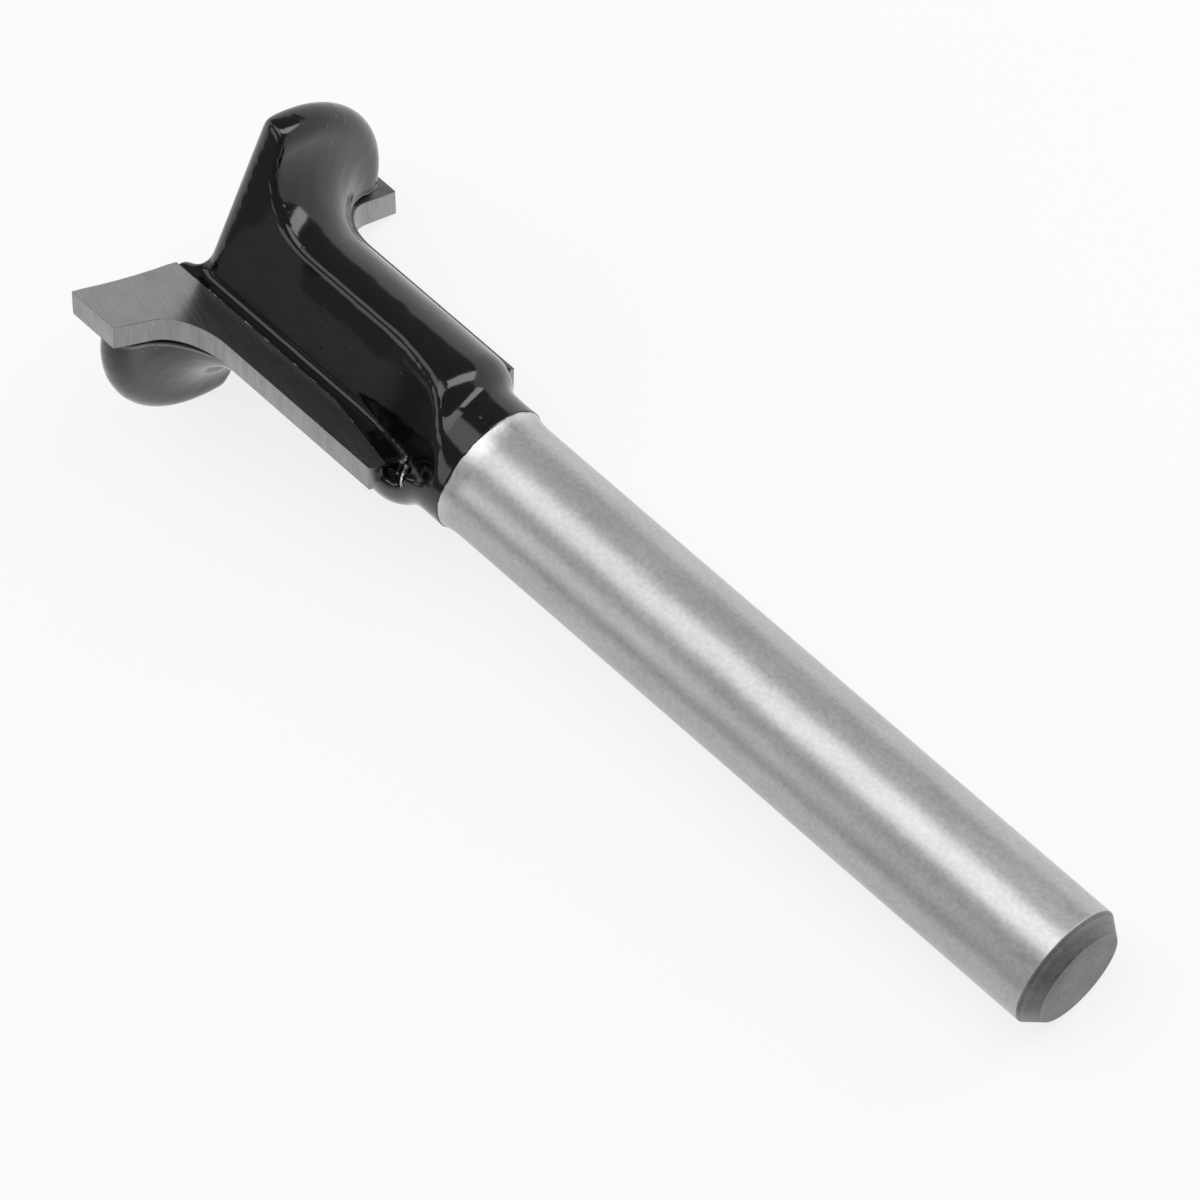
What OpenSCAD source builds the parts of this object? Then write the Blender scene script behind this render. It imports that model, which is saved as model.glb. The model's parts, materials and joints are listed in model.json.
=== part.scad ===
// Two-flute router bit, with two carbide tips brazed to a painted steel body, lying as it rests on a bench.
// Each piece is drawn on the bit's own axis: Z runs from the cutting end to the free end of the shank,
// and the first tip's flat cutting face looks along +X, with its cutting edge out along +Y.

/* [Shank] */
// Diameter of the ground shank that the collet holds
shank_d = 8; // [6:0.1:9]
// Length of the bare ground shank
shank_len = 47; // [30:1:70]
// Length of the hollow that the grinding wheel leaves where the shank meets the neck
runout_len = 1.3; // [0.8:0.1:2]
// Length of the bevel at the free end, measured along the shank
bevel_len = 1.1; // [0.5:0.1:2]
// Height of the bevel at the free end, measured across the shank
bevel_h = 0.85; // [0.4:0.05:1.5]

/* [Body] */
// Length of the painted head, from the cutting ends of the tips to the bare shank
head_len = 23; // [22:0.5:30]
// Height of the painted neck above the bare shank
neck_step = 0.25; // [0.1:0.05:0.4]
// Length of the plain neck beside the bare shank
neck_len = 1.8; // [1.2:0.1:2.4]
// Radius of the hollow fillet between the neck and the shoulder
neck_fillet = 1.2; // [0.6:0.1:1.4]
// Radius of the rounded shoulder at the shank end of the body
shoulder_r = 2; // [1.4:0.1:2.4]
// Diameter of the straight part of the body
body_d = 10.6; // [10.2:0.1:11.4]
// Diameter of the flared rim
flare_d = 21.8; // [20:0.1:23]
// Thickness of the flare, and so the diameter of its round rim
flare_t = 2.45; // [1.8:0.05:2.8]
// Radius of the cove that runs from the flare into the straight part
body_cove = 4.2; // [3:0.1:4.2]
// How far the tips stand out past the end of the body
end_inset = 0.9; // [0.3:0.1:1.2]
// Width of the rounded edge between each flute wall and the end of the body
edge_w = 1.1; // [0.4:0.1:1.2]

/* [Flutes] */
// Distance of each cutting face from the plane through the axis
rake_offset = 1.46; // [1:0.02:1.8]
// Half thickness of the web between the flutes, at the cutting faces
web_half = 1.9; // [1.5:0.05:2.3]
// Lean of each flute wall away from square to the cutting face, in degrees
wall_lean = 7.5; // [2:0.5:12]
// Radius in the root of each flute
root_r = 0.5; // [0.3:0.05:0.8]
// Radius of the wheel track that lifts the flute wall out towards the neck
track_r = 16.6; // [12:0.2:24]
// Length of that run-out, measured from the bare shank
track_len = 9; // [8:0.5:10]
// Radius of the round end of each flute, seen square to its wall
flute_end_r = 1.75; // [1.2:0.05:2.2]
// Distance of the round end of each flute from the bare shank
flute_end_gap = 0.7; // [0.3:0.05:1]
// Angle of the edge that leads from the round end to the back of the flute, in degrees
flute_end_slant = 45; // [35:1:55]

/* [Tips] */
// Diameter of the circle that the outer cutting edges travel
cutting_d = 25.4; // [24:0.1:27]
// Diameter of the circle that the straight cutting edges travel
small_d = 12.5; // [12:0.1:13.4]
// Thickness of each tip
tip_t = 1.9; // [1.4:0.1:2.2]
// Length of each tip
tip_len = 19.1; // [17:0.1:19.4]
// Length of the outer cutting edge
land_len = 3.56; // [3:0.02:4.2]
// Radius of the cove in the cutting edge
tip_cove = 3.45; // [2.4:0.05:4]
// Slope of the shoulder between the cove and the outer cutting edge, in degrees
shoulder_slope = 4; // [2:0.5:10]
// Clearance ground behind the edges that cut sideways, in degrees from square to the cutting face
side_relief = 33; // [20:1:36]
// Clearance ground behind the shoulder, in degrees from square to the cutting face
shoulder_relief = 2; // [1:0.5:10]
// Depth of the hollow ground into the cutting end of each tip
end_dish = 0.12; // [0.05:0.01:0.2]
// Width left flat at each side of that hollow
end_flat = 0.8; // [0.4:0.1:1.5]
// Distance of the inner edge of each tip from the plane through the axis
tip_inner = 2.85; // [2.6:0.05:3.2]
// The same distance at the shank end of the tip, where the inner edge slants out
tip_inner_end = 4.5; // [3.6:0.1:4.8]
// Length of the slanted part of the inner edge
slant_len = 5.6; // [3:0.1:8]

/* [Hidden] */

// Overrun that carries every cut clear of the faces it passes through
over = 1;
// Steps of the arc along the cove of a tip
arc_steps = 20;
// Share of its radius by which a rounded edge's centre stands behind each face, to meet it at a slight angle
edge_share = 0.95;

shank_r = shank_d / 2;
neck_r = shank_r + neck_step;
body_r = body_d / 2;
flare_r = flare_d / 2;
rim_r = flare_t / 2;
overall_len = head_len + shank_len;
// The cove can't be wider than the step from the straight part to the round rim
cove_fit = min(body_cove, flare_r - rim_r - body_r);
edge_r = edge_w / (edge_share - sqrt(1 - pow(edge_share, 2)));
edge_back = edge_share * edge_r;

// Radius of the turned blank that the flutes are cut into, and of the space round it
cut_reach = cutting_d;
// Distance of the cutting edges from the plane through the axis, out along the cutting face
edge_outer = sqrt(pow(cutting_d / 2, 2) - pow(rake_offset, 2));
edge_inner = sqrt(pow(small_d / 2, 2) - pow(rake_offset, 2));

// Place of the run-out of the flute wall, along the axis
track_z = head_len - track_len;

// Distance from the axis to the flute wall, and the wall's angle where it meets the rim of the flare
wall_gap = web_half * cos(wall_lean) + rake_offset * sin(wall_lean);
heel_angle = wall_lean + asin(wall_gap / flare_r);

// The bit lies on the heel of one wing, the outer corner of the other tip and the rim of the shank
heel = flare_r * [-cos(heel_angle), -sin(heel_angle)];
toe = [rake_offset, -edge_outer];
heel_z = end_inset + rim_r;
toe_z = land_len;
rest_span = norm(toe - heel);
rest_z = overall_len - bevel_len;
roll_level = atan2(heel[0] - toe[0], toe[1] - heel[1]);
drop_level = [cos(roll_level), sin(roll_level)] * toe;
slope_level = (drop_level - shank_r) / (rest_z - toe_z);
// The two supports stand at different places along the axis, so the slope turns the bit a little further
roll = roll_level - asin(slope_level * (toe_z - heel_z) / rest_span);
drop = [cos(roll), sin(roll)] * toe;
slope = atan((drop - shank_r) / (rest_z - toe_z));
rest_height = drop * cos(slope) + toe_z * sin(slope);
far_x = (shank_r - bevel_h) * sin(slope) + overall_len * cos(slope);
near_x = -drop * sin(slope);

// Lays a piece drawn on the bit's axis down on the bench, with the origin under the middle of the bit
module lay_down()
  translate([-(far_x + near_x) / 2, 0, rest_height])
    rotate([0, 90 + slope, 0])
      rotate([0, 0, -roll])
        children();

// A pair of pieces on opposite sides of the axis
module both_sides()
  for (turn = [0, 180])
    rotate([0, 0, turn])
      children();

// Fills the hollow fillet between the rounded shoulder and the neck
module shoulder_fillet(shoulder_z) {
  fillet_x = neck_r + neck_fillet;
  round_x = body_r - shoulder_r;
  reach = shoulder_r + neck_fillet;
  rise = sqrt(pow(reach, 2) - pow(fillet_x - round_x, 2));
  difference() {
    polygon([
      [round_x, shoulder_z],
      [fillet_x, shoulder_z + rise],
      [round_x, shoulder_z + rise]
    ]);
    translate([fillet_x, shoulder_z + rise])
      circle(r = neck_fillet, $fn = 64);
  }
}

// Half section of the turned blank: neck, rounded shoulder, straight part, cove and round rim
module blank_section() {
  fillet_x = neck_r + neck_fillet;
  round_x = body_r - shoulder_r;
  rise = sqrt(pow(shoulder_r + neck_fillet, 2) - pow(fillet_x - round_x, 2));
  shoulder_z = head_len - neck_len - rise;
  rim_x = flare_r - rim_r;
  flare_top = end_inset + flare_t;

  translate([0, end_inset])
    square([neck_r, head_len - end_inset]);
  translate([0, end_inset])
    square([body_r, shoulder_z - end_inset]);
  translate([0, shoulder_z - shoulder_r])
    square([round_x, 2 * shoulder_r]);
  translate([round_x, shoulder_z])
    circle(r = shoulder_r, $fn = 96);
  shoulder_fillet(shoulder_z);

  translate([0, end_inset])
    square([rim_x, flare_t]);
  translate([rim_x, end_inset + rim_r])
    circle(r = rim_r, $fn = 96);
  difference() {
    translate([0, flare_top - rim_r])
      square([body_r + cove_fit, rim_r + cove_fit]);
    translate([body_r + cove_fit, flare_top + cove_fit])
      circle(r = cove_fit, $fn = 128);
  }
}

// Half section of the ground shank with its bevel, and with the hollow that leads up to the neck
module shank_section() {
  runout_r = (pow(runout_len, 2) + pow(neck_step, 2)) / (2 * neck_step);
  polygon([
    [0, head_len],
    [shank_r, head_len],
    [shank_r, overall_len - bevel_len],
    [shank_r - bevel_h, overall_len],
    [0, overall_len]
  ]);
  difference() {
    translate([0, head_len])
      square([neck_r, runout_len]);
    translate([shank_r + runout_r, head_len + runout_len])
      circle(r = runout_r, $fn = 360);
  }
}

// Cross-section of one flute, with its rounded root
module flute_section() {
  root_x = root_r - rake_offset;
  root_y = web_half + root_r * (tan(wall_lean) + 1 / cos(wall_lean));
  wall_end = web_half + (cut_reach + rake_offset) * tan(wall_lean);
  translate([root_x, root_y])
    circle(r = root_r, $fn = 48);
  polygon([
    [root_x, root_y],
    [root_x + root_r * sin(wall_lean), root_y - root_r * cos(wall_lean)],
    [cut_reach, wall_end],
    [cut_reach, cut_reach],
    [-rake_offset, cut_reach],
    [-rake_offset, root_y]
  ]);
}

// Outline of one flute seen square to its wall, with the round end beside the neck
module flute_plan() {
  end_x = flute_end_r - rake_offset;
  end_z = head_len - flute_end_gap - flute_end_r;
  touch = flute_end_r * [sin(flute_end_slant), cos(flute_end_slant)];
  translate([end_x, end_z])
    circle(r = flute_end_r, $fn = 72);
  polygon([
    [-cut_reach, -over],
    [-cut_reach, end_z],
    [end_x, end_z],
    [end_x + touch[0], end_z + touch[1]],
    [cut_reach, end_z + touch[1] - (cut_reach - end_x - touch[0]) * tan(flute_end_slant)],
    [cut_reach, -over]
  ]);
}

// Long section of one flute, whose wall curves out along the wheel track
module flute_track()
  difference() {
    translate([0, -over])
      square([cut_reach, head_len + over]);
    difference() {
      translate([-over, track_z])
        square([over + track_r, track_r]);
      translate([track_r, track_z])
        circle(r = track_r, $fn = 180);
    }
  }

// All that the grinding wheel takes away for one flute
module flute_cut()
  intersection() {
    translate([0, 0, -over])
      linear_extrude(height = head_len + over)
        flute_section();
    rotate([90, 0, 0])
      translate([0, 0, -cut_reach])
        linear_extrude(height = cut_reach)
          flute_plan();
    translate([-rake_offset, web_half, 0])
      rotate([0, 0, wall_lean])
        translate([-over, 0, 0])
          rotate([90, 0, 90])
            linear_extrude(height = cut_reach)
              flute_track();
  }

// Rounds the edge between one flute wall and the end of the body
module end_round()
  translate([-rake_offset, web_half, end_inset])
    rotate([0, 0, wall_lean])
      rotate([90, 0, 90])
        translate([0, 0, root_r])
          linear_extrude(height = cut_reach)
            difference() {
              translate([-edge_back, -over])
                square([edge_back + over, over + edge_back]);
              translate([-edge_back, edge_back])
                circle(r = edge_r, $fn = 64);
            }

// Outline of the seat under a tip, on the cutting face
module seat_outline()
  polygon([
    [tip_inner, -over],
    [tip_inner, tip_len - slant_len],
    [tip_inner_end, tip_len],
    [cut_reach, tip_len],
    [cut_reach, -over]
  ]);

// Space of one seat, as deep as the tip is thick
module seat_cut()
  translate([-rake_offset - tip_t, 0, 0])
    rotate([90, 0, 90])
      linear_extrude(height = tip_t + over)
        seat_outline();

// Outline of the cutting edges on the cutting face: outer edge, sloping shoulder, cove and straight edge
function shoulder_at(y) = land_len + (edge_outer - y) * tan(shoulder_slope);
cove_y = edge_inner + tip_cove;
cove_z = shoulder_at(cove_y) + tip_cove / cos(shoulder_slope);
cove_sweep = 90 - shoulder_slope;
edge_points = concat(
  [[0, -cut_reach], [edge_outer, -cut_reach], [edge_outer, land_len]],
  [for (i = [0:arc_steps]) let (a = shoulder_slope + cove_sweep * i / arc_steps)
    [cove_y - tip_cove * sin(a), cove_z - tip_cove * cos(a)]],
  [[edge_inner, cut_reach], [0, cut_reach]]
);

// Prism with the relief ground on it: its sides run back from the cutting edges at the relief angles
module relief_prism()
  translate([-rake_offset, 0, 0])
    rotate([0, 0, side_relief])
      rotate([0, -shoulder_relief, 0])
        rotate([90, 0, 90])
          translate([0, 0, -cut_reach])
            linear_extrude(height = 2 * cut_reach)
              polygon([for (p = edge_points) [
                p[0] * cos(side_relief),
                p[1] * cos(shoulder_relief) - p[0] * sin(shoulder_relief) * sin(side_relief)
              ]]);

// Shallow hollow across the cutting end of a tip, between its inner edge and its outer corner
module dish_cut() {
  half_width = (edge_outer - tip_inner) / 2 - end_flat;
  dish_r = (pow(half_width, 2) + pow(end_dish, 2)) / (2 * end_dish);
  translate([-rake_offset - tip_t - over, (edge_outer + tip_inner) / 2, end_dish - dish_r])
    rotate([0, 90, 0])
      cylinder(h = tip_t + 2 * over, r = dish_r, $fn = 360);
}

// One carbide tip: a flat plate with relief behind its cutting edges
module tip()
  difference() {
    intersection() {
      translate([-rake_offset - tip_t, 0, 0])
        cube([tip_t, cut_reach, tip_len]);
      seat_cut();
      relief_prism();
    }
    dish_cut();
  }

// Steel body and shank, turned from one bar, with two flutes and two seats cut into it
module steel_body()
  lay_down()
    color("dimgray")
      difference() {
        rotate_extrude($fn = 128)
          union() {
            blank_section();
            shank_section();
          }
        both_sides() {
          flute_cut();
          end_round();
          seat_cut();
        }
      }

module carbide_tip_1()
  lay_down()
    color("silver")
      tip();

module carbide_tip_2()
  lay_down()
    color("silver")
      rotate([0, 0, 180])
        tip();

steel_body();
carbide_tip_1();
carbide_tip_2();
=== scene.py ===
import json
from math import asin, cos, exp, pi, radians, sin, tan

import bmesh
import bpy
from mathutils import Matrix, Vector, noise
from mathutils.geometry import intersect_point_line

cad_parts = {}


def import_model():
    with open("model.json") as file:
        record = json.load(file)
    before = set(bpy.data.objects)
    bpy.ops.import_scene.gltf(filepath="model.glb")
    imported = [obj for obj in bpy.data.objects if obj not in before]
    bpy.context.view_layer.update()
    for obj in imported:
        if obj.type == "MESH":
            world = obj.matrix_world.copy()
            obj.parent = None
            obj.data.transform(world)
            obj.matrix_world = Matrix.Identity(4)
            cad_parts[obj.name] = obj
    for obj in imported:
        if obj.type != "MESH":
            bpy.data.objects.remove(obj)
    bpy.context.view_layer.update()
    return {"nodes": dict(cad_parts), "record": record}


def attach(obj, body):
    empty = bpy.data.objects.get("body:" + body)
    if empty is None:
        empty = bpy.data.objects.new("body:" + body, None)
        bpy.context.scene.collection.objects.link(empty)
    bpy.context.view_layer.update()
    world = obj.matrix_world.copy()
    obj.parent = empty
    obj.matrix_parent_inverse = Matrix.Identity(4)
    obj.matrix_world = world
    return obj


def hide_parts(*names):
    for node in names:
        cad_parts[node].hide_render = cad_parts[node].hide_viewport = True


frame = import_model()

# The bit's own axes: millimetres, Z from the cutting end to the free end of the shank,
# and the first tip's cutting face looking along +X
MM = 0.001
MERGE = 1e-4
HEAD_LEN = 23.0
SHANK_LEN = 47.0
SHANK_R = 4.0
NECK_R = 4.25
RUNOUT_LEN = 1.3
BEVEL_LEN = 1.1
BEVEL_H = 0.85
RAKE_OFFSET = 1.46
TIP_T = 1.9
TIP_LEN = 19.1
TIP_INNER = 2.85
SIDE_RELIEF = radians(33)
ROLL = radians(-128.2592)

shank_mount = frame["record"]["mounts"][0]
shank_axis = Vector(shank_mount["axis"])
SLOPE = asin(-shank_axis.z)
MOUNT_Z = HEAD_LEN + RUNOUT_LEN + shank_mount["dims"]["length_mm"] / 2
LAID = Matrix.Rotation(pi / 2 + SLOPE, 4, "Y") @ Matrix.Rotation(-ROLL, 4, "Z")
TO_ROW = (
    Matrix.Translation(shank_mount["pos_m"])
    @ LAID
    @ Matrix.Scale(MM, 4)
    @ Matrix.Translation((0, 0, -MOUNT_Z))
)
TO_AXIS = TO_ROW.inverted()


# Shaping

def take(node):
    """A merged copy of a CAD node on the bit's own axes, in millimetres."""
    shape = bmesh.new()
    shape.from_mesh(frame["nodes"][node].data)
    bmesh.ops.transform(shape, matrix=TO_AXIS, verts=shape.verts)
    bmesh.ops.remove_doubles(shape, verts=shape.verts, dist=MERGE)
    return shape


def cut(shape, place, facing):
    """Cuts off what lies past a plane and closes the hole; returns the closing faces."""
    everything = shape.verts[:] + shape.edges[:] + shape.faces[:]
    sliced = bmesh.ops.bisect_plane(
        shape, geom=everything, dist=MERGE / 10, plane_co=place, plane_no=facing,
        clear_outer=True,
    )
    rim = [part for part in sliced["geom_cut"] if isinstance(part, bmesh.types.BMEdge)]
    closed = bmesh.ops.triangle_fill(shape, use_beauty=True, edges=rim)
    return [part for part in closed["geom"] if isinstance(part, bmesh.types.BMFace)]


def turn(shape, angle):
    turned = Matrix.Rotation(angle, 3, "Z")
    bmesh.ops.rotate(shape, cent=(0, 0, 0), matrix=turned, verts=shape.verts)


def mesh_of(shape, name):
    mesh = bpy.data.meshes.new(name)
    shape.to_mesh(mesh)
    shape.free()
    return mesh


def modified(mesh, steps):
    """The mesh that a stack of modifiers makes; each step is a modifier's type and its settings."""
    piece = bpy.data.objects.new("work", mesh)
    bpy.context.scene.collection.objects.link(piece)
    for kind, settings in steps:
        modifier = piece.modifiers.new(kind.lower(), kind)
        for name, value in settings.items():
            setattr(modifier, name, value)
    depsgraph = bpy.context.evaluated_depsgraph_get()
    made = bpy.data.meshes.new_from_object(piece.evaluated_get(depsgraph))
    bpy.data.objects.remove(piece)
    return made


def place(shape, name, material, slot, smooth_angle=None):
    """Lays a finished shape down in the row's frame as a piece of the object."""
    bmesh.ops.transform(shape, matrix=TO_ROW, verts=shape.verts)
    bmesh.ops.recalc_face_normals(shape, faces=shape.faces)
    mesh = mesh_of(shape, name)
    mesh.materials.append(material)
    mesh.shade_smooth()
    if smooth_angle is not None:
        mesh.set_sharp_from_angle(angle=smooth_angle)
    piece = bpy.data.objects.new(name, mesh)
    bpy.context.scene.collection.objects.link(piece)
    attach(piece, "root")
    return piece


# Materials

LINE_TURN = radians(26)
CHATTER_LEN = 0.9
BACK_FROM = 0.07
FACE_TO = 0.02

# How fast a mask changes from 0 to 1, per millimetre
STEEP = 20.0
STEEPER = 30.0
STEEPEST = 40.0


class Value:
    """A value on a shader socket, on which the usual operators add Math nodes."""

    def __init__(self, finish, socket):
        self.finish = finish
        self.socket = socket

    def math(self, operation, *values, clamp=False):
        return self.finish.node(
            "ShaderNodeMath", {"operation": operation, "use_clamp": clamp}, dict(enumerate(values))
        )

    def __add__(self, other):
        return self.math("ADD", self, other)

    def __radd__(self, other):
        return self.math("ADD", other, self)

    def __sub__(self, other):
        return self.math("SUBTRACT", self, other)

    def __rsub__(self, other):
        return self.math("SUBTRACT", other, self)

    def __mul__(self, other):
        return self.math("MULTIPLY", self, other)

    def __rmul__(self, other):
        return self.math("MULTIPLY", other, self)

    def __truediv__(self, other):
        return self.math("DIVIDE", self, other)

    def __rtruediv__(self, other):
        return self.math("DIVIDE", other, self)

    def __pow__(self, other):
        return self.math("POWER", self, other)

    def clamped(self):
        return self.math("ADD", self, 0.0, clamp=True)


class Finish:
    """A material under construction: one Principled BSDF and the nodes that feed it."""

    def __init__(self, name, **constants):
        self.material = bpy.data.materials.new(name)
        self.material.use_nodes = True
        self.tree = self.material.node_tree
        self.shader = self.tree.nodes["Principled BSDF"]
        for socket, level in constants.items():
            self.shader.inputs[socket.replace("_", " ")].default_value = level

    def feed(self, socket, value):
        if isinstance(value, Value):
            self.tree.links.new(value.socket, socket)
        else:
            socket.default_value = value

    def node(self, kind, settings=None, values=None, output=0):
        """Adds a node: its settings first, then the values or links of its sockets.

        Returns the output that is asked for, or a list where a tuple asks for several.
        """
        made = self.tree.nodes.new(kind)
        for name, value in (settings or {}).items():
            if name == "stops":
                self.set_stops(made.color_ramp.elements, value)
            else:
                setattr(made, name, value)
        for key, value in (values or {}).items():
            self.feed(made.inputs[key], value)
        if isinstance(output, tuple):
            return [Value(self, made.outputs[key]) for key in output]
        return Value(self, made.outputs[output])

    def set_stops(self, elements, stops):
        """Gives a colour ramp its (place, level) stops."""
        while len(elements) < len(stops):
            elements.new(0.5)
        for element, (at, level) in zip(elements, stops):
            element.position = at
            element.color = (level, level, level, 1)

    def axis_point(self):
        """The surface point on the bit's own axes, in millimetres."""
        origin = TO_ROW.translation
        place_on = {"Location": origin, "Rotation": LAID.to_euler(), "Scale": (MM, MM, MM)}
        row_point = self.node("ShaderNodeTexCoord", output="Object")
        return self.node(
            "ShaderNodeMapping", {"vector_type": "TEXTURE"}, {"Vector": row_point, **place_on}
        )

    def scaled(self, point, scale):
        return self.node("ShaderNodeVectorMath", {"operation": "MULTIPLY"}, {0: point, 1: scale})

    def parts(self, point):
        return self.node("ShaderNodeSeparateXYZ", None, {0: point}, (0, 1, 2))

    def joined(self, x, y, z):
        return self.node("ShaderNodeCombineXYZ", None, {0: x, 1: y, 2: z})

    def noise(self, point, scale, detail=2.0, roughness=0.5):
        return self.node(
            "ShaderNodeTexNoise",
            None,
            {"Vector": point, "Scale": scale, "Detail": detail, "Roughness": roughness},
        )

    def specks(self, point, scale, size, share):
        """Scattered small round spots: 1 on a spot, 0 off it; share is how many cells have one."""
        distance, cell_colour = self.node(
            "ShaderNodeTexVoronoi", None, {"Vector": point, "Scale": scale}, ("Distance", "Color")
        )
        near = (1.0 - distance / size).clamped()
        chosen = self.parts(cell_colour)[0]
        return near * ((share - chosen) * 50.0).clamped()

    def ramp(self, value, stops):
        """Maps a value through (place, level) stops."""
        return self.node("ShaderNodeValToRGB", {"stops": stops}, {0: value})

    def tone(self, level):
        """Sets the base colour to a grey that may vary over the surface."""
        grey = self.node("ShaderNodeCombineColor", None, {0: level, 1: level, 2: level})
        self.feed(self.shader.inputs["Base Color"], grey)

    def roughness(self, level):
        self.feed(self.shader.inputs["Roughness"], level)

    def relief(self, height):
        """Bumps the surface by a height in millimetres."""
        bump = self.node("ShaderNodeBump", None, {"Height": height, "Distance": MM})
        self.feed(self.shader.inputs["Normal"], bump)


def black_paint():
    """Thick gloss paint: an uneven skin, a few specks of dust and fine scuffs."""
    finish = Finish("black_paint", Specular_IOR_Level=0.5)
    point = finish.axis_point()
    peel = finish.noise(point, scale=0.55, detail=1.0)
    specks = finish.specks(point, scale=0.9, size=0.11, share=0.5)
    clouds = finish.noise(point, scale=1.1, detail=4.0, roughness=0.6)
    scuffs = finish.ramp(clouds, [(0.0, 0), (0.52, 0), (0.75, 1)])
    finish.tone(0.002 + 0.002 * scuffs + 0.02 * specks)
    finish.roughness(0.09 + 0.05 * scuffs + 0.05 * peel)
    finish.relief(0.05 * peel + 0.05 * specks)
    return finish.material


def ground_steel():
    """Bare steel: satin on its side, rubbed at the collar, darker and ringed on its end."""
    finish = Finish("ground_steel", Metallic=0.55)
    point = finish.axis_point()
    x, y, z = finish.parts(point)
    around = finish.scaled(point, (0.5, 0.5, 7.0))
    rings = finish.noise(around, scale=1.0, detail=4.0, roughness=0.7)
    mottle = finish.noise(point, scale=3.5, detail=5.0, roughness=0.7) - 0.5
    stretched = finish.scaled(point, (1.0, 1.0, 0.4))
    patches = finish.noise(stretched, scale=0.6, detail=3.0) - 0.5
    specks = finish.specks(point, scale=0.5, size=0.09, share=0.3)
    radius = finish.joined((x * x + y * y) ** 0.5, 0.0, 0.0)
    turned = finish.noise(radius, scale=6.0, detail=4.0, roughness=0.7) - 0.5
    on_end = ((z - (HEAD_LEN + SHANK_LEN - BEVEL_LEN)) * STEEP).clamped()
    chatter = ((HEAD_LEN + CHATTER_LEN - z) * 1.2 + 2.0 * patches).clamped()
    side_tone = 0.45 + 0.35 * mottle + 0.15 * patches - 0.12 * specks + 0.15 * chatter
    end_tone = 0.16 + 0.15 * mottle + 0.3 * turned + 0.15 * patches
    finish.tone(side_tone + on_end * (end_tone - side_tone))
    finish.roughness(0.33 + 0.12 * mottle + 0.1 * on_end)
    rough = 0.004 * rings + (0.004 + 0.008 * chatter) * mottle
    finish.relief((1.0 - on_end) * rough + on_end * 0.02 * turned)
    return finish.material


def ground_carbide():
    """Tungsten carbide: slanting grinding lines on its face and edges, soot on its back."""
    finish = Finish("ground_carbide", Metallic=0.9)
    point = finish.axis_point()
    x, y, z = finish.parts(point)
    depth = x.math("ABSOLUTE", x)
    reach = y.math("ABSOLUTE", y) + depth * tan(SIDE_RELIEF)
    back = ((depth - (RAKE_OFFSET + TIP_T - BACK_FROM)) * STEEPER).clamped()
    on_face = 1.0 - ((depth - (RAKE_OFFSET + FACE_TO)) * STEEPEST).clamped()
    across = y * cos(LINE_TURN) - z * sin(LINE_TURN)
    along = y * sin(LINE_TURN) + z * cos(LINE_TURN)
    on_face_line = finish.joined(across * 4.0, along * 0.2, 0.0)
    on_edge_line = finish.joined(depth * 0.25, reach * 3.0, z * 3.0)
    face_lines = finish.noise(on_face_line, scale=1.0, detail=3.0, roughness=0.6)
    edge_lines = finish.noise(on_edge_line, scale=1.0, detail=3.0, roughness=0.6)
    lines = edge_lines + on_face * (face_lines - edge_lines) - 0.5
    cloud = finish.noise(point, scale=0.8, detail=3.0)
    pits = finish.specks(point, scale=0.8, size=0.08, share=0.35)
    ground = 0.21 + 0.08 * cloud + (0.24 - 0.12 * on_face) * lines - 0.15 * pits
    sooty = 0.03 + 0.12 * cloud
    finish.tone(ground + back * (sooty - ground))
    finish.roughness(0.27 + 0.1 * lines + 0.15 * back)
    finish.relief(0.004 * lines - 0.01 * pits)
    return finish.material


def braze(name, bare_from):
    """Braze that is bright where the soot is off it; bare_from sets how much of it is sooty."""
    finish = Finish(name, Metallic=1.0)
    point = finish.axis_point()
    grain = finish.noise(point, scale=7.0, detail=3.0, roughness=0.6)
    soot = finish.noise(point, scale=1.6, detail=4.0, roughness=0.7)
    bare = finish.ramp(soot, [(0.0, 0), (bare_from, 0), (bare_from + 0.15, 1)])
    finish.tone(0.03 + bare * (0.45 + 0.4 * grain))
    finish.roughness(0.25 + 0.25 * grain)
    finish.relief(0.03 * grain)
    return finish.material


# Pieces

# The head is remade as one skin of small cells, then smoothed to the soft edges of paint
VOXEL = 0.14
SOFT_PASSES = 32
# The head runs on a little past the collar, so that smoothing doesn't round its edge there
STUB_FROM = 0.05
STUB_LEN = 1.25

# More smoothing at the cutting end, where a flute runs out and along a flute wall's outer edge
END_SOFT = 1.3
END_PASSES = 24
RUN_OUT_LOW = Vector((-2.0, 0.6, 19.6))
RUN_OUT_HIGH = Vector((-0.2, 3.6, 21.8))
RUN_OUT_PASSES = 30
WALL_EDGE = [
    Vector(spot) for spot in (
        (4.6, 2.7, 4.5), (4.56, 2.7, 15.0), (4.3, 3.1, 17.8), (3.9, 3.5, 19.4), (2.9, 3.7, 20.3),
        (1.4, 4.0, 21.3),
    )
]
WALL_EDGE_REACH = 0.8
WALL_EDGE_PASSES = 14
PAST_ENDS = 0.05

# Paint and braze that fill the part of a seat that its tip leaves free
SEAT_OVERLAP = 0.1
FILL_DEPTH = 0.12
FILL_TURN = radians(-30)
BACK_GAP = 0.5

# Paint-covered braze that fills up to the cutting end beside each tip
BEAD_OUTLINE = [(2.9, -0.12), (1.8, -0.12), (1.5, 0.75), (1.5, 1.7), (2.9, 1.7)]
BEAD_DEPTH = (-3.5, -1.34)

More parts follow.
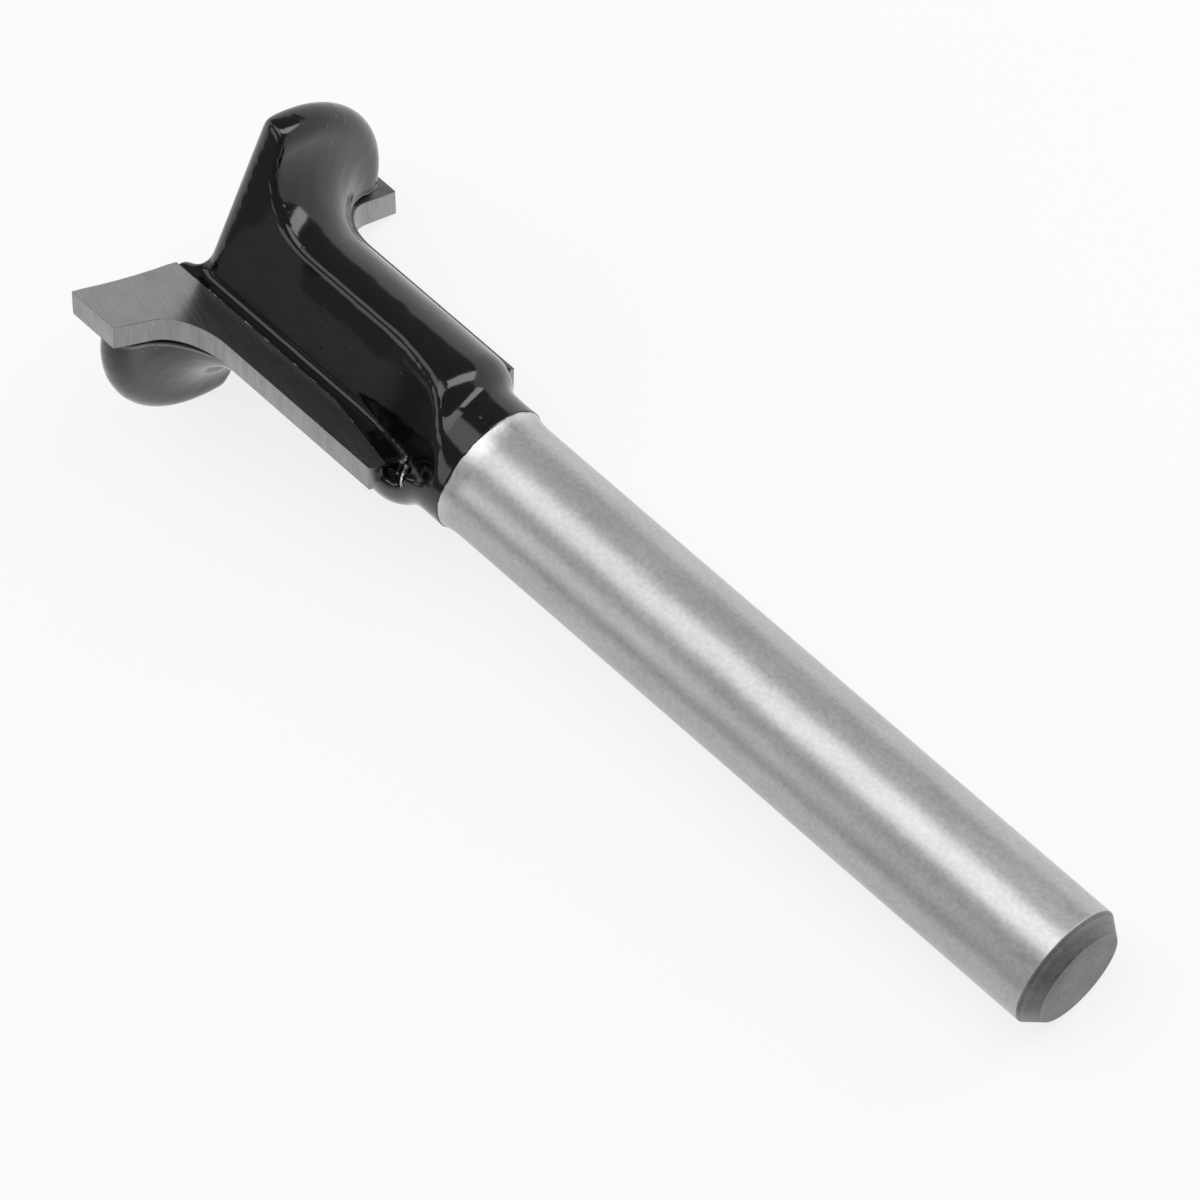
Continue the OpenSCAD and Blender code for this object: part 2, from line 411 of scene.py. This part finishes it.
# The open pocket behind each tip's shank end, and the narrow gap along the back of each tip
POCKET_OUTLINE = [
    (3.1, 19.15), (3.1, 19.6), (3.5, 19.95), (4.1, 20.35), (4.8, 20.55), (7.0, 20.8), (7.0, 19.15),
]
POCKET_DEPTH = (-2.4, -1.25)
BACK_OUTLINE = [(4.2, -0.5), (14.0, -0.5), (14.0, 13.0), (4.2, 13.0)]
BACK_DEPTH = (-3.47, -3.3)

# The groove and the lip of paint along a tip's back edge
LIP_H = 0.12
LIP_AT = 0.4
LIP_W = 0.17
LIP_FROM = 4.2
LIP_TO = 12.0
GAP_H = 0.12
GAP_W = 0.16
FLAT_NORMAL = 0.8

# The paint's thickness at the collar, and the waves in its edge there: height and frequency
PAINT = 0.05
RIM_WAVES = ((0.08, 0.9), (0.06, 4.0))

SHANK_STEPS = 192
HOLLOW_STEPS = 12
SHANK_OVERLAP = 0.5
SHANK_EDGE = 0.02
TIP_EDGE = 0.03

# noise_vector starts from the clock unless it has a seed
THREAD_SEED = 1
THREAD_STEPS = 14
DRIFT_PACE = 1.9
SWELL_PACE = 3.1
SWELL = 0.5

SIDES = (0, pi)
OTHER_SIDE = Matrix.Rotation(pi, 3, "Z")


def seat_fill(side):
    """Fills a seat behind its tip with the wing's own form, turned forward about the axis."""
    fill = take("steel_body")
    turn(fill, FILL_TURN)
    cut(fill, (-RAKE_OFFSET - FILL_DEPTH, 0, 0), (1, 0, 0))
    cut(fill, (-RAKE_OFFSET - TIP_T + BACK_GAP, 0, 0), (-1, 0, 0))
    cut(fill, (0, TIP_INNER - SEAT_OVERLAP, 0), (0, -1, 0))
    cut(fill, (0, 0, TIP_LEN + SEAT_OVERLAP), (0, 0, 1))
    turn(fill, side)
    return mesh_of(fill, "fill")


def slab(outline, low, high):
    """A flat block: an outline of (y, z) corners, given depth along X from low to high."""
    shape = bmesh.new()
    corners = [shape.verts.new((low, y, z)) for y, z in outline]
    made = bmesh.ops.contextual_create(shape, geom=corners)
    raised = bmesh.ops.extrude_face_region(shape, geom=made["faces"])
    lifted = [part for part in raised["geom"] if isinstance(part, bmesh.types.BMVert)]
    bmesh.ops.translate(shape, vec=(high - low, 0, 0), verts=lifted)
    bmesh.ops.recalc_face_normals(shape, faces=shape.faces)
    return shape


def in_run_out(point):
    """Whether a point lies where the first flute runs out towards the neck."""
    return all(low < value < high for low, value, high in zip(RUN_OUT_LOW, point, RUN_OUT_HIGH))


def by_wall_edge(point):
    """Whether a point lies beside the outer edge of the first flute's wall."""
    for first, second in zip(WALL_EDGE, WALL_EDGE[1:]):
        nearest, share = intersect_point_line(point, first, second)
        if -PAST_ENDS <= share <= 1 + PAST_ENDS and (point - nearest).length < WALL_EDGE_REACH:
            return True
    return False


def lip_lift(point):
    """How far the paint stands up behind a tip's back edge: a groove at the edge, then a lip."""
    if point.y < LIP_FROM or point.z > LIP_TO:
        return 0.0
    behind = -(RAKE_OFFSET + TIP_T) - point.x
    return LIP_H * exp(-((behind - LIP_AT) / LIP_W) ** 2) - GAP_H * exp(-(behind / GAP_W) ** 2)


def pockets():
    """The blocks that open the pocket and the gap at each tip, as one object to cut with."""
    blocks = bmesh.new()
    for side in SIDES:
        for outline, depth in ((POCKET_OUTLINE, POCKET_DEPTH), (BACK_OUTLINE, BACK_DEPTH)):
            block = slab(outline, *depth)
            turn(block, side)
            blocks.from_mesh(mesh_of(block, "pocket"))
    cutter = bpy.data.objects.new("pockets", mesh_of(blocks, "pockets"))
    bpy.context.scene.collection.objects.link(cutter)
    return cutter


def on_both_sides(test):
    """A test on the first side's shape, made to hold for the second side too."""
    return lambda point: test(point) or test(OTHER_SIDE @ point)


def head():
    """The painted head: the CAD body without its shank, with the soft edges that paint gives."""
    shape = take("steel_body")
    stub = cut(shape, (0, 0, HEAD_LEN - STUB_FROM), (0, 0, 1))
    raised = bmesh.ops.extrude_face_region(shape, geom=stub)
    lifted = [part for part in raised["geom"] if isinstance(part, bmesh.types.BMVert)]
    bmesh.ops.translate(shape, vec=(0, 0, STUB_LEN), verts=lifted)
    cutter = pockets()
    opened = modified(
        mesh_of(shape, "head"),
        [("BOOLEAN", {"operation": "DIFFERENCE", "object": cutter, "solver": "EXACT"})],
    )
    bpy.data.objects.remove(cutter)
    shape = bmesh.new()
    shape.from_mesh(opened)
    for side in SIDES:
        shape.from_mesh(seat_fill(side))
        bead = slab(BEAD_OUTLINE, *BEAD_DEPTH)
        turn(bead, side)
        shape.from_mesh(mesh_of(bead, "bead"))
    soft = modified(
        mesh_of(shape, "head"),
        [
            ("REMESH", {"mode": "VOXEL", "voxel_size": VOXEL}),
            ("SMOOTH", {"factor": 0.5, "iterations": SOFT_PASSES}),
        ],
    )
    shape = bmesh.new()
    shape.from_mesh(soft)
    cut(shape, (0, 0, HEAD_LEN), (0, 0, 1))
    softer = (
        (lambda point: point.z < END_SOFT, END_PASSES),
        (on_both_sides(in_run_out), RUN_OUT_PASSES),
        (on_both_sides(by_wall_edge), WALL_EDGE_PASSES),
    )
    patches = [
        ([vert for vert in shape.verts if inside(vert.co)], passes) for inside, passes in softer
    ]
    for patch, passes in patches:
        for _ in range(passes):
            bmesh.ops.smooth_vert(
                shape, verts=patch, factor=0.5, use_axis_x=True, use_axis_y=True, use_axis_z=True
            )
    shape.normal_update()
    for vert in shape.verts:
        lift = max(lip_lift(vert.co), lip_lift(OTHER_SIDE @ vert.co), key=abs)
        if abs(vert.normal.x) < FLAT_NORMAL:
            vert.co += lift * vert.normal
    rim = [
        vert for vert in shape.verts
        if vert.co.z > HEAD_LEN - 1e-3 and vert.co.xy.length > SHANK_R
    ]
    for vert in rim:
        vert.co.z += sum(height * noise.noise(vert.co * pace) for height, pace in RIM_WAVES)
    piece = place(shape, "painted_head", black_paint(), "steel")
    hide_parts("steel_body")
    return piece


def shank():
    """The bare ground shank, turned in one piece with the head."""
    end = HEAD_LEN + SHANK_LEN
    step = NECK_R - PAINT - SHANK_R
    hollow_r = (RUNOUT_LEN ** 2 + step ** 2) / (2 * step)
    hollow = []
    for i in range(HOLLOW_STEPS + 1):
        z = RUNOUT_LEN * i / HOLLOW_STEPS
        rise = hollow_r - (hollow_r ** 2 - (RUNOUT_LEN - z) ** 2) ** 0.5
        hollow.append((SHANK_R + rise, HEAD_LEN + z))
    outline = [
        (0, HEAD_LEN - SHANK_OVERLAP),
        (SHANK_R + step, HEAD_LEN - SHANK_OVERLAP),
        *hollow,
        (SHANK_R, end - BEVEL_LEN),
        (SHANK_R - BEVEL_H, end),
        (0, end),
    ]
    shape = bmesh.new()
    points = [shape.verts.new((r, 0, z)) for r, z in outline]
    edges = [shape.edges.new(pair) for pair in zip(points, points[1:])]
    bmesh.ops.spin(
        shape, geom=points + edges, cent=(0, 0, 0), axis=(0, 0, 1), angle=2 * pi,
        steps=SHANK_STEPS, use_merge=True, use_normal_flip=False, use_duplicate=False,
    )
    bmesh.ops.remove_doubles(shape, verts=shape.verts, dist=MERGE)
    rings = [
        edge for edge in shape.edges
        if edge.is_manifold and abs(edge.verts[0].co.z - edge.verts[1].co.z) < 1e-4
        and edge.verts[0].co.z > end - BEVEL_LEN - 1e-3
        and abs(edge.verts[0].co.xy.length - edge.verts[1].co.xy.length) < 1e-3
    ]
    bmesh.ops.bevel(
        shape, geom=rings, offset=SHANK_EDGE, offset_type="OFFSET", segments=3, profile=0.5,
        affect="EDGES", material=-1,
    )
    piece = place(shape, "ground_shank", ground_steel(), "steel", radians(35))
    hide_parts("steel_body")
    return piece


def thread(name, points, radius, wander, material):
    """A thin uneven run of braze along a line of points, on both sides of the bit."""
    noise.seed_set(THREAD_SEED)
    points = [Vector(point) for point in points]
    shape = bmesh.new()
    for side in SIDES:
        line = bpy.data.curves.new(name, "CURVE")
        line.dimensions = "3D"
        line.bevel_depth = radius
        line.bevel_resolution = 2
        line.use_fill_caps = True
        spline = line.splines.new("POLY")
        steps = [
            first.lerp(second, i / THREAD_STEPS)
            for first, second in zip(points, points[1:])
            for i in range(THREAD_STEPS)
        ] + [points[-1]]
        spline.points.add(len(steps) - 1)
        for spot, place_at in zip(spline.points, steps):
            drift = noise.noise_vector(place_at * DRIFT_PACE + Vector((side, 0, 0)))
            spot.co = (*(place_at + wander * drift), 1)
            spot.radius = 1 + SWELL * noise.noise(place_at * SWELL_PACE + Vector((0, side, 0)))
        holder = bpy.data.objects.new(name, line)
        bpy.context.scene.collection.objects.link(holder)
        depsgraph = bpy.context.evaluated_depsgraph_get()
        tube = bmesh.new()
        tube.from_mesh(bpy.data.meshes.new_from_object(holder.evaluated_get(depsgraph)))
        bpy.data.objects.remove(holder)
        bmesh.ops.remove_doubles(tube, verts=tube.verts, dist=MERGE)
        turn(tube, side)
        shape.from_mesh(mesh_of(tube, name))
    return place(shape, name, material, "steel")


def tip(number, material):
    """A carbide tip: the CAD plate with the least edge that a grinding wheel leaves."""
    node = f"carbide_tip_{number}"
    shape = take(node)
    bmesh.ops.dissolve_limit(
        shape, angle_limit=radians(0.5), verts=shape.verts, edges=shape.edges
    )
    edges = [edge for edge in shape.edges if edge.calc_face_angle(0) > radians(20)]
    bmesh.ops.bevel(
        shape, geom=edges, offset=TIP_EDGE, offset_type="OFFSET", segments=2, profile=0.5,
        affect="EDGES", material=-1,
    )
    piece = place(shape, f"ground_tip_{number}", material, "carbide", radians(20))
    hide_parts(node)
    return piece


head()
shank()
carbide = ground_carbide()
tip(1, carbide)
tip(2, carbide)
seam = [
    (-1.47, 2.85, 0.25), (-1.47, 2.85, 5.0), (-1.47, 2.85, 9.5), (-1.47, 2.85, 13.5),
    (-1.47, 3.7, 16.4), (-1.47, 4.48, 19.0),
]
spill = [
    (-1.3, 2.86, 19.35), (-1.4, 3.2, 19.6), (-1.42, 3.56, 19.87), (-1.5, 4.1, 20.25),
    (-1.75, 4.4, 20.5), (-2.1, 4.3, 20.7),
]
thread("braze_seam", seam, radius=0.035, wander=0.02, material=braze("sooty_braze", 0.55))
thread("braze_spill", spill, radius=0.11, wander=0.12, material=braze("bare_braze", 0.4))


# Floor, light and camera

FLOOR_HALF = 2.0
FLOOR_GLOW = 0.8
WORLD_LEVEL = 0.25

CAMERA_AT = (0.192833, -0.043248, 0.414125)
CAMERA_TURN = (21.4724, 14.9692, 44.5724)
CAMERA_VIEW = 8.70455
CAMERA_NEAR = 0.01


def floor():
    """A pale floor that reads as white and keeps the bit's shadow."""
    shape = bmesh.new()
    bmesh.ops.create_grid(shape, x_segments=1, y_segments=1, size=FLOOR_HALF)
    mesh = mesh_of(shape, "floor")
    finish = Finish(
        "pale_floor", Base_Color=(0.85, 0.85, 0.85, 1), Roughness=1.0, Specular_IOR_Level=0.0
    )
    camera_ray, glossy_ray, clear_ray = finish.node(
        "ShaderNodeLightPath", output=("Is Camera Ray", "Is Glossy Ray", "Is Transmission Ray")
    )
    white = finish.node("ShaderNodeEmission", None, {"Strength": 1.0})
    seen = (camera_ray + glossy_ray + clear_ray).clamped()
    blend = finish.node(
        "ShaderNodeMixShader", None,
        {0: seen * FLOOR_GLOW, 1: Value(finish, finish.shader.outputs[0]), 2: white},
    )
    surface = finish.tree.nodes["Material Output"].inputs["Surface"]
    finish.feed(surface, blend)
    mesh.materials.append(finish.material)
    ground = bpy.data.objects.new("floor", mesh)
    bpy.context.scene.collection.objects.link(ground)


def world():
    made = bpy.data.worlds.new("studio")
    bpy.context.scene.world = made
    made.use_nodes = True
    made.node_tree.nodes["Background"].inputs["Color"].default_value = (1, 1, 1, 1)
    made.node_tree.nodes["Background"].inputs["Strength"].default_value = WORLD_LEVEL


def soft_light(name, at, aim, size, level):
    """A softbox that looks as bright as its level says, where 1 is white."""
    lamp = bpy.data.lights.new(name, "AREA")
    lamp.shape = "RECTANGLE"
    lamp.size, lamp.size_y = size
    lamp.energy = pi * size[0] * size[1] * level
    holder = bpy.data.objects.new(name, lamp)
    holder.location = at
    holder.rotation_euler = (Vector(aim) - Vector(at)).to_track_quat("-Z", "Y").to_euler()
    bpy.context.scene.collection.objects.link(holder)


def camera():
    made = bpy.data.cameras.new("camera")
    made.sensor_fit = "HORIZONTAL"
    made.angle = radians(CAMERA_VIEW)
    made.clip_start = CAMERA_NEAR
    holder = bpy.data.objects.new("camera", made)
    holder.location = CAMERA_AT
    holder.rotation_euler = [radians(turn_by) for turn_by in CAMERA_TURN]
    bpy.context.scene.collection.objects.link(holder)
    bpy.context.scene.camera = holder


floor()
world()
soft_light("ceiling", (0.12, 0.12, 0.6), (0.12, 0.12, 0.0), (0.42, 0.5), 2.7)
soft_light("ceiling_left", (-0.24, 0.08, 0.6), (-0.24, 0.08, 0.0), (0.3, 0.42), 1.7)
soft_light("end", (-0.46, -0.02, 0.2), (0.0, 0.0, 0.01), (0.4, 0.36), 0.9)
soft_light("strip", (0.17, 0.42, 0.21), (0.0, 0.0, 0.01), (0.17, 0.44), 4.2)
soft_light("side", (-0.2, -0.34, 0.24), (0.0, 0.0, 0.01), (0.24, 0.22), 1.5)
camera()
bpy.context.scene.view_settings.view_transform = "Standard"
